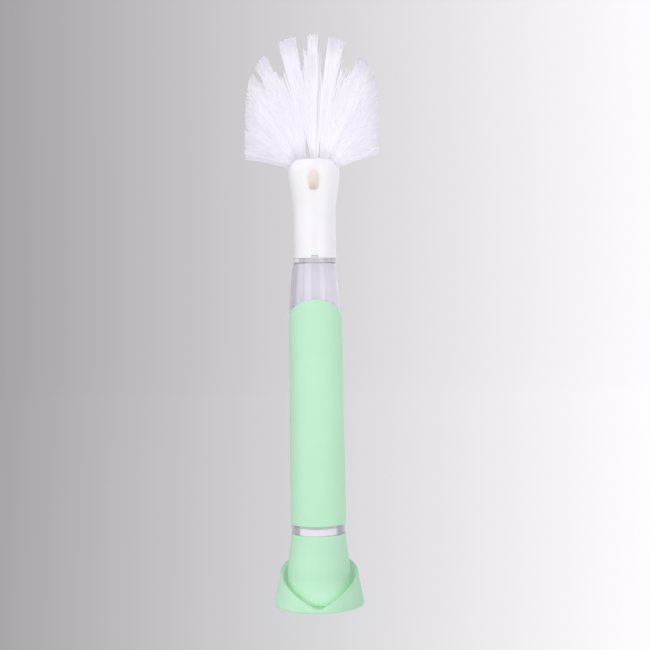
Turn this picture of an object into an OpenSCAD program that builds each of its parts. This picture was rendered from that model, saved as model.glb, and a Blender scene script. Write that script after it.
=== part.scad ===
// Soap dispensing dish wand in its stand.
// The origin is the middle of the stand's underside, +Z is up and -Y is the front.

/* [Stand] */
// Radius of the stand at the worktop
stand_r = 21.6; // [20.5:0.1:26]
// Lean of the stand's wall from upright, in degrees
stand_lean = 10.5; // [6:0.5:12]
// Height of the rim in front
stand_front_h = 2.4; // [2.2:0.1:6]
// Height of the rim behind
stand_back_h = 22; // [14:0.5:26]
// Radius of the dip at the front of the rim
rim_dip_r = 1.5; // [0.5:0.1:4]
// Thickness of the stand's wall
stand_wall = 1.4; // [1:0.1:1.8]
// Thickness of the stand's floor
stand_floor = 1.6; // [1.4:0.1:1.8]
// Radius of the stand's rounded bottom edge
stand_edge_r = 0.9; // [0.4:0.1:1.2]
// Middle radius of the non-slip ring
pad_r = 16.5; // [12:0.5:17]
// Width of the non-slip ring
pad_w = 3.2; // [2:0.1:4]
// Thickness of the non-slip ring
pad_t = 1; // [0.7:0.1:1.2]
// How far the non-slip ring stands proud of the stand
pad_proud = 0.3; // [0.2:0.05:0.5]

/* [End cap] */
// Height of the end cap
cap_h = 32.8; // [32:0.2:38]
// Widest radius of the end cap
cap_belly_r = 15; // [14.2:0.1:15.6]
// Radius of the cap at its top edge
cap_top_r = 13.1; // [12.6:0.1:13.6]
// Radius of the ring that the cap stands on
cap_foot_r = 12.2; // [11.8:0.1:13]
// Height of the rounded foot
cap_foot_h = 4.6; // [3:0.1:6]
// Height of the cap's widest part
cap_belly_h = 13; // [8:0.5:16]
// Inner radius of the cap
cap_bore_r = 11; // [10.6:0.1:11.2]
// Depth of the recess below the button
button_recess = 1.9; // [1.2:0.1:2.4]
// Thickness of the ring that keeps the button in
button_ring_t = 2.8; // [2:0.1:3.2]
// Radius of the button's face
button_r = 8.9; // [8.6:0.1:9.2]
// Thickness of the button's flange
button_flange_t = 1.4; // [1:0.1:1.8]
// Travel of the button
button_travel = 5; // [3:0.5:5.5]
// Bore radius of the pump barrel
barrel_r = 8.4; // [8.2:0.05:8.5]
// Wall of the pump barrel
barrel_wall = 1.5; // [1.2:0.1:1.6]
// Thickness of the web that closes the barrel's top
barrel_web_t = 1.6; // [1.2:0.1:2]
// Radius of the soap hole in the web
barrel_hole_r = 3.8; // [2.5:0.1:4.2]
// Wall of the hollow piston
piston_wall = 2.1; // [1.8:0.1:2.3]
// Depth of the cap's ledge that carries the barrel
ledge_t = 1.8; // [1.2:0.1:2.4]

/* [Return spring] */
// Middle radius of the coils
spring_r = 5; // [4.6:0.1:5.4]
// Wire thickness
spring_wire = 0.8; // [0.5:0.05:0.9]
// Number of turns
spring_turns = 6; // [4:1:8]

/* [Seals] */
// Thickness of the seal rings' cord
seal_cord = 1; // [0.8:0.05:1.1]
// Clearance between parts that slide in one another
slide_gap = 0.06; // [0.03:0.01:0.09]
// Clearance between parts that only lie beside each other
loose_gap = 0.3; // [0.2:0.05:0.4]
// Clearance between faces that rest on one another
rest_gap = 0.05; // [0:0.01:0.1]

/* [Tube] */
// Radius of the tube's bead between cap and sleeve
bead_r = 12.8; // [12.4:0.1:13.2]
// Height of the bead
bead_h = 4.4; // [3:0.1:6]
// Length of the neck that plugs into the end cap
neck_h = 7.6; // [6:0.1:8]
// Length from the bead to the top of the clear shoulder
tube_h = 131.4; // [120:1:150]
// Outer radius of the clear part above the sleeve
tube_r = 12.45; // [12.3:0.05:12.6]
// Radius at the top of the shoulder
tube_top_r = 10.3; // [9.8:0.1:10.6]
// Height of the shoulder
tube_shoulder_h = 30; // [20:1:36]
// Wall of the tube below the shoulder
tube_wall = 1.9; // [1.5:0.1:2.1]
// Wall of the tube at the top of the shoulder
tube_top_wall = 2; // [1.6:0.1:2.4]
// Height of the solid band that closes the tube
band_h = 2.6; // [2:0.1:3.6]
// Radius of the spigot under the head
spigot_r = 7.6; // [7.2:0.1:7.8]
// Height of the spigot
spigot_h = 9.5; // [8:0.1:11]
// Bore radius of the spigot
spigot_bore_r = 5.3; // [4.4:0.1:5.5]
// Width of the key lug in front
lug_w = 2.6; // [2:0.1:4]
// Height of the key lug
lug_h = 1.2; // [0.8:0.1:2]

/* [Grip sleeve] */
// Radius of the sleeve at the bottom
sleeve_r = 13.3; // [13:0.05:13.8]
// Radius of the sleeve at the top
sleeve_top_r = 12.75; // [12.65:0.05:13]
// Inner radius of the sleeve
sleeve_bore_r = 11.5; // [11.4:0.05:11.7]
// Height of the sleeve at its sides
sleeve_h = 98.6; // [90:0.2:100]
// Slant of the sleeve's top edge, in degrees
sleeve_slant = 35; // [20:1:38]

/* [Head] */
// Radius of the head's neck
head_r = 10.3; // [10:0.1:10.6]
// Widest radius of the head
crown_r = 12.4; // [12:0.1:13]
// Height of the head
head_h = 47.3; // [46:0.1:52]
// Height at which the neck begins to swell
swell_h = 21.8; // [19:0.2:24]
// Height of the rounded shoulder
shoulder_h = 5.8; // [5:0.1:6.4]
// Radius of the crown's flat top
crown_flat_r = 8.1; // [7.6:0.1:8.6]
// Thickness of the slice of the crown that holds the tufts
crown_slice_t = 4.3; // [4.2:0.05:4.6]
// Radius of the soap outlet
outlet_r = 2.75; // [2.2:0.05:3]
// Height of the middle of the outlet
outlet_h = 38.2; // [37.4:0.1:38.4]
// Angle of the outlet from upright, in degrees
outlet_lean = 36; // [34:1:42]
// Radius of the soap chamber above the valve
chamber_r = 4.6; // [4:0.1:5]
// Radius of the valve's flange
valve_r = 6.5; // [6.2:0.1:6.8]
// Thickness of the valve's flange
valve_t = 1.6; // [1.2:0.1:2]
// Outer radius of the valve's dome
dome_r = 4; // [3.4:0.1:4.2]
// Thickness of the dome
dome_t = 0.7; // [0.5:0.05:0.9]
// Width of the slits in the dome
slit_w = 0.12; // [0.08:0.01:0.2]
// Thickness of the ring that holds the valve
valve_ring_t = 1.6; // [1.2:0.1:2]

/* [Bristles] */
// Radius that the bristle tips are trimmed to
fan_r = 32; // [28:0.5:36]
// Height of the tips above the flat top of the crown
fan_h = 60.5; // [52:0.5:66]
// Height of the straight sides below the dome of the fan
fan_side_h = 27.2; // [16:0.2:28]
// Radius of a tuft where it leaves the crown
tuft_root_r = 0.92; // [0.84:0.02:0.96]
// How tightly the strands fill the root of a tuft
root_fill = 1; // [0.8:0.02:1.04]
// Width of one side of a strand at its tip
strand_tip_w = 0.95; // [0.6:0.05:1]
// Angle between the tufts of a low row, which stand at the two sides, in degrees
side_turn = 27; // [26:1:40]
// Bend of the tufts that stand halfway out, in degrees
tuft_bend = 13; // [0:1:20]
// How deep the strands are rooted
root_depth = 0.9; // [0.6:0.1:1.5]
// Width of a staple
anchor_w = 1.7; // [1.2:0.1:1.8]
// Thickness of a staple
anchor_t = 0.3; // [0.2:0.05:0.5]
// Height of a staple
anchor_h = 1.2; // [0.8:0.1:1.4]
// Depth of a staple's outer edge below the crown
anchor_depth = 1.3; // [1.1:0.1:1.7]

/* [Hidden] */
$fn = 96;
mint = [0.78, 0.96, 0.84];
white = [0.97, 0.97, 0.99];
clear = [0.86, 0.85, 0.91, 0.5];
steel = [0.7, 0.7, 0.72];
rubber = [0.25, 0.25, 0.27];
silicone = [0.9, 0.9, 0.92];
arc_steps = 12;
past = 1; // how far a cutting body runs past the face that it cuts
far_past = 1.5; // how many times longer than the stand's rim the cone that cuts it is
seal_inset = 3; // how far inside the barrel the piston's seal sits at rest
piston_clear = 1; // what is left above the piston when the button is pressed

// Heights, from the worktop up
stand_floor_top = pad_proud + stand_floor;
cap_z = stand_floor_top;
ring_z = cap_z + button_recess;
flange_z = ring_z + button_ring_t + rest_gap;
piston_z = flange_z + button_flange_t;
barrel_z = piston_z + button_travel + loose_gap;
cap_top_z = cap_z + cap_h;
bead_z = cap_top_z + rest_gap;
neck_z = bead_z - neck_h;
barrel_top_z = neck_z - loose_gap;
barrel_web_z = barrel_top_z - barrel_web_t;
ledge_top_z = barrel_top_z - ledge_t - barrel_web_t;
sleeve_z = bead_z + bead_h;
band_z = bead_z + tube_h - band_h;
head_z = bead_z + tube_h + rest_gap;
spigot_top_z = bead_z + tube_h + spigot_h;
valve_ring_z = spigot_top_z + loose_gap;
valve_z = valve_ring_z + valve_ring_t;
chamber_z = valve_z + valve_t;
crown_top_z = head_z + head_h;
shoulder_z = crown_top_z - shoulder_h;
crown_split_z = crown_top_z - crown_slice_t;

// Radii that follow from their mates
piston_r = barrel_r - slide_gap;
barrel_out_r = barrel_r + barrel_wall;
barrel_flange_r = cap_bore_r - slide_gap;
button_flange_r = cap_bore_r - 2 * loose_gap;
neck_r = cap_bore_r - slide_gap;
sleeve_seat_r = sleeve_bore_r - slide_gap;
tube_bore_r = sleeve_seat_r - tube_wall;
tube_top_bore_r = tube_top_r - tube_top_wall;
socket_r = spigot_r + slide_gap;
valve_seat_r = valve_r + slide_gap;
piston_seal_z = barrel_z + seal_inset;
piston_top_z = barrel_web_z - button_travel - piston_clear;

function stand_r_at(z) = stand_r - (z - pad_proud) * tan(stand_lean);
function arc(centre, rx, ry, from, to) =
  [for (i = [0 : arc_steps])
    let (a = from + (to - from) * i / arc_steps)
    [centre.x + rx * cos(a), centre.y + ry * sin(a)]];
// A smooth curve from one radius to another, upright at both ends
function s_curve(low, high) =
  [for (i = [0 : arc_steps])
    let (t = i / arc_steps)
    [low.x + (high.x - low.x) * (1 - cos(180 * t)) / 2, low.y + (high.y - low.y) * t]];
// A curve that starts upright and leans in more and more
function shoulder_curve(low, high) =
  [for (i = [0 : arc_steps])
    let (t = i / arc_steps)
    [low.x + (high.x - low.x) * t * t, low.y + (high.y - low.y) * t]];

module ring(r_in, r_out, z, h) {
  translate([0, 0, z])
    rotate_extrude()
      translate([r_in, 0])
        square([r_out - r_in, h]);
}
// An O-ring whose outside runs on radius r
module seal_ring(r, z) {
  translate([0, 0, z])
    rotate_extrude()
      translate([r - seal_cord / 2, 0])
        circle(d = seal_cord, $fn = 32);
}
// The groove for an O-ring whose outside runs on radius r
module seal_groove(r, z) {
  depth = seal_cord + rest_gap;
  ring(r - depth, r + past, z - seal_cord / 2 - rest_gap, seal_cord + 2 * rest_gap);
}
function seal_run_r(part_r) = part_r + slide_gap / 2;

// Stand
module rim_cut() {
  front_r = stand_r_at(stand_front_h);
  across = front_r + stand_r_at(stand_back_h);
  rise = stand_back_h - stand_front_h;
  translate([0, -front_r, stand_front_h])
    cylinder(r1 = rim_dip_r, r2 = rim_dip_r + far_past * (across - rim_dip_r), h = far_past * rise);
}
module stand_cup() {
  top = stand_back_h + past;
  color(mint)
    difference() {
      rotate_extrude()
        polygon(concat(
          [[0, pad_proud]],
          arc([stand_r - stand_edge_r, pad_proud + stand_edge_r], stand_edge_r, stand_edge_r, -90, 0),
          [[stand_r_at(top), top]],
          [[stand_r_at(top) - stand_wall, top]],
          [[stand_r_at(stand_floor_top) - stand_wall, stand_floor_top]],
          [[0, stand_floor_top]]));
      ring(pad_r - pad_w / 2, pad_r + pad_w / 2, pad_proud - past, past + pad_t - pad_proud);
      rim_cut();
    }
}
module stand_pad() {
  color(rubber)
    ring(pad_r - pad_w / 2 + rest_gap, pad_r + pad_w / 2 - rest_gap, 0, pad_t);
}

// End cap and soap pump
module end_cap() {
  color(mint)
    rotate_extrude()
      polygon(concat(
        [[cap_bore_r, cap_z]],
        arc([cap_foot_r, cap_z + cap_foot_h], cap_belly_r - cap_foot_r, cap_foot_h, -90, 0),
        s_curve([cap_belly_r, cap_z + cap_belly_h], [cap_top_r, cap_top_z]),
        [[cap_bore_r, cap_top_z]],
        [[cap_bore_r, ledge_top_z]],
        [[barrel_out_r + slide_gap, ledge_top_z]],
        [[barrel_out_r + slide_gap, ledge_top_z - ledge_t]],
        [[cap_bore_r, ledge_top_z - ledge_t]]));
}
module pump_barrel() {
  color(white) {
    ring(barrel_r, barrel_out_r, barrel_z, barrel_web_z - barrel_z);
    ring(barrel_hole_r, barrel_flange_r, barrel_web_z, barrel_web_t);
    ring(barrel_r, barrel_flange_r, ledge_top_z, barrel_web_z - ledge_top_z);
  }
}
module button_ring() {
  color(white)
    ring(button_r + loose_gap, cap_bore_r - rest_gap, ring_z, button_ring_t);
}
module push_button() {
  color(mint)
    difference() {
      union() {
        ring(0, button_r, ring_z, button_ring_t + rest_gap);
        ring(0, button_flange_r, flange_z, button_flange_t);
        ring(0, piston_r, piston_z, piston_top_z - piston_z);
      }
      ring(0, piston_r - piston_wall, flange_z, piston_top_z - flange_z + past);
      seal_groove(seal_run_r(piston_r), piston_seal_z);
    }
}
module piston_seal() {
  color(rubber)
    seal_ring(seal_run_r(piston_r), piston_seal_z);
}
// A coil of triangles, swept along a helix between two heights
module return_spring() {
  sides = 6;
  turn_steps = 8;
  low = flange_z + spring_wire / 2 + rest_gap;
  high = barrel_web_z - spring_wire / 2 - rest_gap;
  steps = spring_turns * turn_steps;
  points = [for (i = [0 : steps], k = [0 : sides - 1])
    let (
      a = 360 * i / turn_steps,
      b = 360 * k / sides,
      r = spring_r + spring_wire / 2 * cos(b),
      z = low + (high - low) * i / steps + spring_wire / 2 * sin(b))
    [r * cos(a), r * sin(a), z]];
  walls = [for (i = [0 : steps - 1], k = [0 : sides - 1])
    let (
      a = i * sides + k,
      b = i * sides + (k + 1) % sides)
    each [[a, b, b + sides], [a, b + sides, a + sides]]];
  last = steps * sides;
  ends = [for (k = [1 : sides - 2]) each [[0, k + 1, k], [last, last + k, last + k + 1]]];
  color(steel)
    polyhedron(points, concat(walls, ends));
}

// Tube, its seals and the sleeve
// Everything below the slanted edge of the sleeve
module below_slant(edge_z) {
  reach = tube_h + 4 * sleeve_r;
  translate([0, 0, edge_z])
    rotate([-sleeve_slant, 0, 0])
      translate([-reach, -reach, -2 * reach])
        cube([2 * reach, 2 * reach, 2 * reach]);
}
// The room that the sleeve takes around the tube
module sleeve_room() {
  intersection() {
    ring(sleeve_seat_r, sleeve_r + past, sleeve_z - past, past + tube_h);
    below_slant(sleeve_z + sleeve_h + rest_gap);
  }
}
module tube_outside() {
  shoulder_low = [tube_r, band_z - tube_shoulder_h + band_h];
  difference() {
    rotate_extrude()
      polygon(concat(
        [[0, sleeve_z - past]],
        [[tube_r, sleeve_z - past]],
        shoulder_curve(shoulder_low, [tube_top_r, band_z]),
        [[tube_top_r, band_z + band_h]],
        [[0, band_z + band_h]]));
    sleeve_room();
  }
  ring(0, bead_r, bead_z, bead_h);
  ring(0, neck_r, neck_z, neck_h + past);
  ring(0, spigot_r, band_z, spigot_top_z - band_z);
}
module reservoir_tube() {
  shoulder_low = [tube_bore_r, band_z - tube_shoulder_h + band_h];
  color(clear)
    difference() {
      union() {
        tube_outside();
        key_lug();
      }
      rotate_extrude()
        polygon(concat(
          [[0, neck_z - past]],
          [[tube_bore_r, neck_z - past]],
          shoulder_curve(shoulder_low, [tube_top_bore_r, band_z]),
          [[0, band_z]]));
      ring(0, spigot_bore_r, band_z - past, spigot_top_z - band_z + 2 * past);
      seal_groove(seal_run_r(neck_r), bead_z - neck_h / 2);
      seal_groove(seal_run_r(spigot_r), head_z + spigot_h / 2);
    }
}
module key_lug() {
  intersection() {
    ring(0, tube_top_r, head_z - past, past + lug_h);
    translate([-lug_w / 2, -2 * tube_top_r, head_z - past])
      cube([lug_w, 2 * tube_top_r, 2 * past + lug_h]);
  }
}
module cap_seal() {
  color(silicone)
    seal_ring(seal_run_r(neck_r), bead_z - neck_h / 2);
}
module head_seal() {
  color(silicone)
    seal_ring(seal_run_r(spigot_r), head_z + spigot_h / 2);
}
module grip_sleeve() {
  taper_h = sleeve_h + sleeve_r;
  color(mint)
    intersection() {
      rotate_extrude()
        polygon([
          [sleeve_bore_r, sleeve_z],
          [sleeve_r, sleeve_z],
          [sleeve_top_r, sleeve_z + taper_h],
          [sleeve_bore_r, sleeve_z + taper_h]]);
      below_slant(sleeve_z + sleeve_h);
    }
}

// Head
function crown_profile() =
  arc([crown_flat_r, shoulder_z], crown_r - crown_flat_r, shoulder_h, 0, 90);
module head_bore() {
  outlet_reach = 3 * crown_r;
  ring(0, socket_r, head_z - past, valve_ring_z - head_z + past);
  ring(0, valve_seat_r, valve_ring_z - past, chamber_z - valve_ring_z + past);
  ring(0, chamber_r, chamber_z - past, outlet_bend_z() - chamber_z + past);
  translate([0, 0, outlet_bend_z()])
    sphere(r = chamber_r);
  translate([0, 0, outlet_bend_z()])
    rotate([outlet_lean, 0, 0])
      cylinder(r = outlet_r, h = outlet_reach);
}
// Where the outlet's axis meets the wand's axis
function outlet_bend_z() = head_z + outlet_h - crown_r / tan(outlet_lean);
module head_shell() {
  color(white)
    difference() {
      rotate_extrude()
        polygon(concat(
          [[0, head_z]],
          [[head_r, head_z]],
          s_curve([head_r, head_z + swell_h], [crown_r, shoulder_z]),
          [for (p = crown_profile()) if (p.y > shoulder_z && p.y < crown_split_z) p],
          [[crown_r_at(crown_split_z), crown_split_z]],
          [[0, crown_split_z]]));
      head_bore();
      key_notch();
    }
}
function crown_r_at(z) =
  crown_flat_r + (crown_r - crown_flat_r) * sqrt(1 - pow((z - shoulder_z) / shoulder_h, 2));
module key_notch() {
  w = lug_w + 2 * loose_gap;
  translate([-w / 2, -2 * head_r, head_z - past])
    cube([w, 2 * head_r, past + lug_h + loose_gap]);
}
module soap_valve() {
  color(silicone)
    difference() {
      union() {
        ring(0, valve_r, valve_z, valve_t - rest_gap);
        translate([0, 0, valve_z])
          sphere(r = dome_r);
      }
      translate([0, 0, valve_z])
        sphere(r = dome_r - dome_t);
      ring(0, valve_r + past, valve_z - 2 * dome_r, 2 * dome_r);
      for (turn = [0, 90])
        rotate([0, 0, turn])
          translate([-dome_r / 2, -slit_w / 2, valve_z])
            cube([dome_r, slit_w, 2 * dome_r]);
    }
}
module valve_ring() {
  color(white)
    ring(dome_r, valve_seat_r - rest_gap, valve_ring_z, valve_ring_t);
}

// Bristles
// Turns of tufts that stand in a whole ring
function all_around(tufts, first) = [for (i = [0 : tufts - 1]) first + 360 * i / tufts];
// Turns of tufts at the two sides, which leaves the front free for the soap outlet
function at_sides() = [for (side = [0, 180], i = [-1 : 1]) side + side_turn * i];
// Each row of tufts is [how far down the crown's outline the roots are, where the tips start and end
// down the trimmed outline, half the width across that at the tips, strands in a tuft, turns of the
// tufts]. The first three are shares of those outlines, and the width is a share of the fan's radius.
TUFT_ROWS = [
  [0, -0.027, 0.027, 0.066, 9, [0]],
  [0.31, 0.103, 0.206, 0.1, 9, all_around(4, 0)],
  [0.44, 0.2, 0.303, 0.109, 9, all_around(4, 45)],
  [0.455, 0.303, 0.452, 0.116, 9, all_around(4, 0)],
  [0.58, 0.471, 0.632, 0.125, 9, all_around(8, 0)],
  [0.705, 0.645, 0.806, 0.188, 11, at_sides()],
  [0.83, 0.826, 1, 0.188, 12, at_sides()]
];
dome_length = fan_r * PI / 2;
outline_length = dome_length + fan_side_h;
crown_arc_length = (crown_r - crown_flat_r + shoulder_h) / 2 * PI / 2;
crown_length = crown_flat_r + crown_arc_length;
trim_z = crown_top_z + fan_h - fan_r;
golden_angle = 137.5;
tip_fill = 0.3; // width of a strand's tip as a share of half a narrow tuft's width
straight_bend = 3;
nudge = [0.001, 0, 0]; // gives an upright strand a side too
CROWN_BANDS = 8;
crown_disc_h = 0.1;
// The crown's outline, at distance s from its middle
function crown_point(s) =
  let (t = 90 * (s - crown_flat_r) / crown_arc_length)
  s <= crown_flat_r
    ? [s, crown_top_z]
    : [crown_flat_r + (crown_r - crown_flat_r) * sin(t), shoulder_z + shoulder_h * cos(t)];
// Lean of the crown's outside there, in degrees
function crown_lean(s) =
  let (t = 90 * max(0, s - crown_flat_r) / crown_arc_length)
  atan2(shoulder_h * sin(t), (crown_r - crown_flat_r) * cos(t));
// The trimmed outline of the bristles, at distance q from its top: a dome on a cylinder
function trim_point(q) =
  let (t = 90 * q / dome_length)
  t <= 90
    ? [fan_r * sin(t), trim_z + fan_r * cos(t)]
    : [fan_r, trim_z - (q - dome_length)];
function turned(p, turn) = [p.x * cos(turn), p.x * sin(turn), p.y];
function aside(p, turn, w) = p + w * [-sin(turn), cos(turn), 0];
function unit(v) = v / norm(v);
// One bristle: a three-sided rod from root to tip, whose middle is moved by lift
module strand(root, tip, root_w, tip_w, rings, lift) {
  along = unit(tip - root);
  side = unit(cross([0, 0, 1], along) + nudge);
  up = cross(along, side);
  points = [for (i = [0 : rings], k = [0 : 2])
    let (
      t = i / rings,
      middle = (1 - t) * root + t * tip + 4 * t * (1 - t) * lift,
      r = (root_w + (tip_w - root_w) * t) / sqrt(3))
    middle + r * (cos(120 * k) * side + sin(120 * k) * up)];
  walls = [for (i = [0 : rings - 1], k = [0 : 2])
    let (
      a = 3 * i + k,
      b = 3 * i + (k + 1) % 3)
    each [[a, b + 3, b], [a, a + 3, b + 3]]];
  last = 3 * rings;
  polyhedron(points, concat(walls, [[0, 1, 2], [last, last + 2, last + 1]]));
}
// All strands of a tuft bend alike, so they never cross
module tuft(row, turn) {
  root_s = row[0] * crown_length;
  tip_q = (row[1] + row[2]) / 2 * outline_length;
  tip_reach = (row[2] - row[1]) / 2 * outline_length;
  tip_across = row[3] * fan_r;
  strands = row[4];
  bend = tuft_bend * sin(180 * tip_q / outline_length);
  chord = trim_point(tip_q) - crown_point(root_s);
  lift = tan(bend) / 4 * [-chord.y, chord.x];
  for (k = [0 : strands - 1])
    let (
      reach = sqrt((k + 0.5) / strands),
      a = reach * cos(golden_angle * k),
      b = reach * sin(golden_angle * k),
      root_p = turned(crown_point(root_s + a * tuft_root_r), turn),
      tip_p = turned(trim_point(tip_q + a * tip_reach), turn),
      base = aside(root_p, turn, b * tuft_root_r),
      tip = aside(tip_p, turn, b * tip_across))
    strand(
      base - root_depth * unit(tip - base), tip,
      root_fill * tuft_root_r / sqrt(strands),
      min(strand_tip_w, tip_fill * tip_across),
      bend > straight_bend ? 2 : 1,
      turned(lift, turn));
}
// One of the discs that the crown is drawn over, from 0 at the slice's bottom to CROWN_BANDS
module crown_disc(i) {
  t = i / CROWN_BANDS;
  z = crown_split_z + (crown_slice_t - crown_disc_h) * t * (2 - t);
  translate([0, 0, z])
    cylinder(r = i == 0 ? crown_r_at(z) : crown_r_at(z + crown_disc_h), h = crown_disc_h, $fn = 24);
}
// Draws the children for each tuft, with $row and $turn set
module at_tufts() {
  for ($row = TUFT_ROWS)
    for ($turn = $row[5])
      children();
}
module bristle_crown() {
  color(white)
    union() {
      for (i = [1 : CROWN_BANDS])
        hull() {
          crown_disc(i - 1);
          crown_disc(i);
        }
      at_tufts()
        tuft($row, $turn);
    }
}
module tuft_anchors() {
  color(steel)
    at_tufts()
      let (root_s = $row[0] * crown_length)
      translate(turned(crown_point(root_s), $turn))
        rotate([0, crown_lean(root_s), $turn])
          translate([-anchor_t / 2, -anchor_w / 2, -anchor_depth - anchor_h])
            cube([anchor_t, anchor_w, anchor_h]);
}

stand_cup();
stand_pad();
end_cap();
pump_barrel();
button_ring();
push_button();
piston_seal();
return_spring();
reservoir_tube();
cap_seal();
head_seal();
grip_sleeve();
head_shell();
soap_valve();
valve_ring();
bristle_crown();
tuft_anchors();
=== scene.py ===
"""Looks of the dish wand: materials, rounded edges, thin bristles, light and camera.

Lengths are in millimetres until a mesh is made, and in metres for the materials, the studio and the
camera. Angles are in degrees. -Y is the front.
"""

import math
import random

import bmesh
import bpy
from mathutils import Matrix, Vector

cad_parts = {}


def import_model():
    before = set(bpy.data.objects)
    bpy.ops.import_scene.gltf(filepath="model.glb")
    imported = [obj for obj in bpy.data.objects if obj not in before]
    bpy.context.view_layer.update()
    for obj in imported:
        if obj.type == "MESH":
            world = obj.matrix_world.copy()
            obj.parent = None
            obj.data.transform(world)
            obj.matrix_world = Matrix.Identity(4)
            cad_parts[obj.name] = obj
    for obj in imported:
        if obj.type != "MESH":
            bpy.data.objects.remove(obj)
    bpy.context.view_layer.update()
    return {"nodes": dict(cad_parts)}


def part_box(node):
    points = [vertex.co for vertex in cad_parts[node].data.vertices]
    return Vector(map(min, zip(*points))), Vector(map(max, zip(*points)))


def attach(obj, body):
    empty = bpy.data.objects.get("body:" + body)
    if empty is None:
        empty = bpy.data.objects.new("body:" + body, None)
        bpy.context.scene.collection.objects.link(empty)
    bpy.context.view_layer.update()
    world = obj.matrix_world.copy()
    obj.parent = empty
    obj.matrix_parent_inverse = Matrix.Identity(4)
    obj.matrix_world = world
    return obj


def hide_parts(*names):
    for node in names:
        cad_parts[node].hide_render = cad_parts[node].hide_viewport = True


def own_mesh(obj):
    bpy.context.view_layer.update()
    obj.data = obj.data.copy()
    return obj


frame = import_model()

MM = 0.001

# How fine the meshes are
TURNS, STAND_TURNS, SLEEVE_TURNS, HEAD_TURNS, OUTLET_TURNS = 192, 320, 256, 288, 96
CURVE_STEPS, CAP_CURVE_STEPS, HEAD_CURVE_STEPS = 28, 20, 64
FILLET_STEPS, ARC_STEPS = 5, 14
SPRING_STEPS, SPRING_SIDES = 32, 12
HALVINGS = 40
SHARP_ANGLE = 38
# How near a vertex or face counts as lying on a surface, and as past one
ON, PAST = 0.05, 0.1

# Sizes that the looks share with the frame
PAD_R, PAD_W, PAD_T = 16.5, 3.2, 1.0
STAND_R, STAND_LEAN, STAND_WALL = 21.6, 10.5, 1.4
STAND_FRONT_H, STAND_BACK_H, RIM_DIP_R = 2.4, 22.0, 1.5
CAP_FOOT_R, CAP_FOOT_H = 12.2, 4.6
CAP_BELLY_R, CAP_BELLY_H, CAP_TOP_R = 15.0, 13.0, 13.1
CAP_BORE_R = 11.0
LEDGE_UP, LEDGE_T, LEDGE_R = 10.1, 1.8, 9.96
SPRING_R, SPRING_WIRE_R, SPRING_TURNS, SPRING_FIXED_H = 5.0, 0.4, 6, 25.2
SLEEVE_BORE_R, SLEEVE_R, SLEEVE_TOP_R = 11.5, 13.3, 12.75
SLEEVE_SIDE_H, SLEEVE_SLANT = 98.6, 35.0
TUBE_R, TUBE_TOP_R, TUBE_SHOULDER_H, BAND_H = 12.45, 10.3, 27.4, 2.6
TUBE_BORE_R, TUBE_TOP_BORE_R, SEAT_R = 9.54, 8.3, 11.44
BEAD_R, BEAD_H, NECK_R, NECK_H = 12.8, 4.4, 10.94, 7.6
SPIGOT_R, SPIGOT_H, SPIGOT_BORE_R = 7.6, 9.5, 5.3
GROOVE_DEPTH, GROOVE_H = 1.02, 1.1
HEAD_R, CROWN_R, CROWN_FLAT_R = 10.3, 12.4, 8.1
SWELL_H, SHOULDER_H, CROWN_SLICE_T = 21.8, 5.8, 4.3
SOCKET_R, VALVE_SEAT_R, CHAMBER_R = 7.66, 6.56, 4.6
VALVE_RING_UP, VALVE_SEAT_DEPTH = 9.75, 3.2
OUTLET_R, OUTLET_H, OUTLET_LEAN = 2.75, 38.2, 36.0
LUG_W, LUG_H, LUG_GAP = 2.6, 1.2, 0.15
FAN_R, FAN_H = 32.0, 60.5

# Radii of the rounded edges
STAND_EDGE_R, RIM_EDGE_R, RIM_INNER_EDGE_R, STAND_FLOOR_EDGE_R = 0.9, 0.3, 0.15, 0.8
CAP_MOUTH_EDGE_R, CAP_TOP_EDGE_R, CAP_TOP_INNER_EDGE_R, LEDGE_EDGE_R = 0.4, 0.35, 0.3, 0.15
SLEEVE_FOOT_EDGE_R, SLEEVE_TOP_EDGE_R, SLEEVE_TOP_INNER_EDGE_R = 0.45, 0.4, 0.2
NECK_EDGE_R, BEAD_EDGE_R, BAND_FOOT_EDGE_R, BAND_TOP_EDGE_R = 0.3, 0.35, 0.3, 0.4
SPIGOT_EDGE_R, SPIGOT_BORE_EDGE_R = 0.4, 0.3
SOCKET_EDGE_R, HEAD_EDGE_R = 0.25, 0.35
# A rounding takes at most this share of the edge beside it
FILLET_SHARE = 0.45

# Forms that only the looks have: the notch under the tube's band, how deep the lug's foot sinks in,
# and the outlet's rounded upper edge, which fades out below, and its flatter lower lip
BAND_NOTCH_DEPTH, BAND_NOTCH_H = 0.45, 0.5
LUG_FRONT_INSET, LUG_BACK_INSET, LUG_SUNK = 0.45, 0.4, 0.5
LIP_DEPTH, LIP_REACH, LIP_FADE_DOWN, LIP_FADE_H = 0.7, 1.8, 3, 5
LIP_SQUARE, BORE_SQUARE = 3, 2

# Where painted light and shade show, and how strong: glows painted for light inside the pieces, and
# painted shade, as shares of the full colour that each material paints
STAND_LIT = 0.5
FOOT_LIT, FOOT_LIT_H, FOOT_LIT_FADE, FOOT_LIT_INSET = 0.65, 9, 1.2, 0.5
MATT_DOWN, BEAD_LIT_H = 0.4, 2.8
BEAD_LIT_TURN, BEAD_DIM_TURN, BEAD_BLEND = 54, 80, 8
MATT_DIM, BEAD_SIDE_DIM, LUG_DIM, LUG_OUT = 0.1, 0.5, 0.4, 0.2
MOUTH_SHADE, MOUTH_LIT = 0.6, 0.1


# Outlines in the r-z plane

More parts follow.
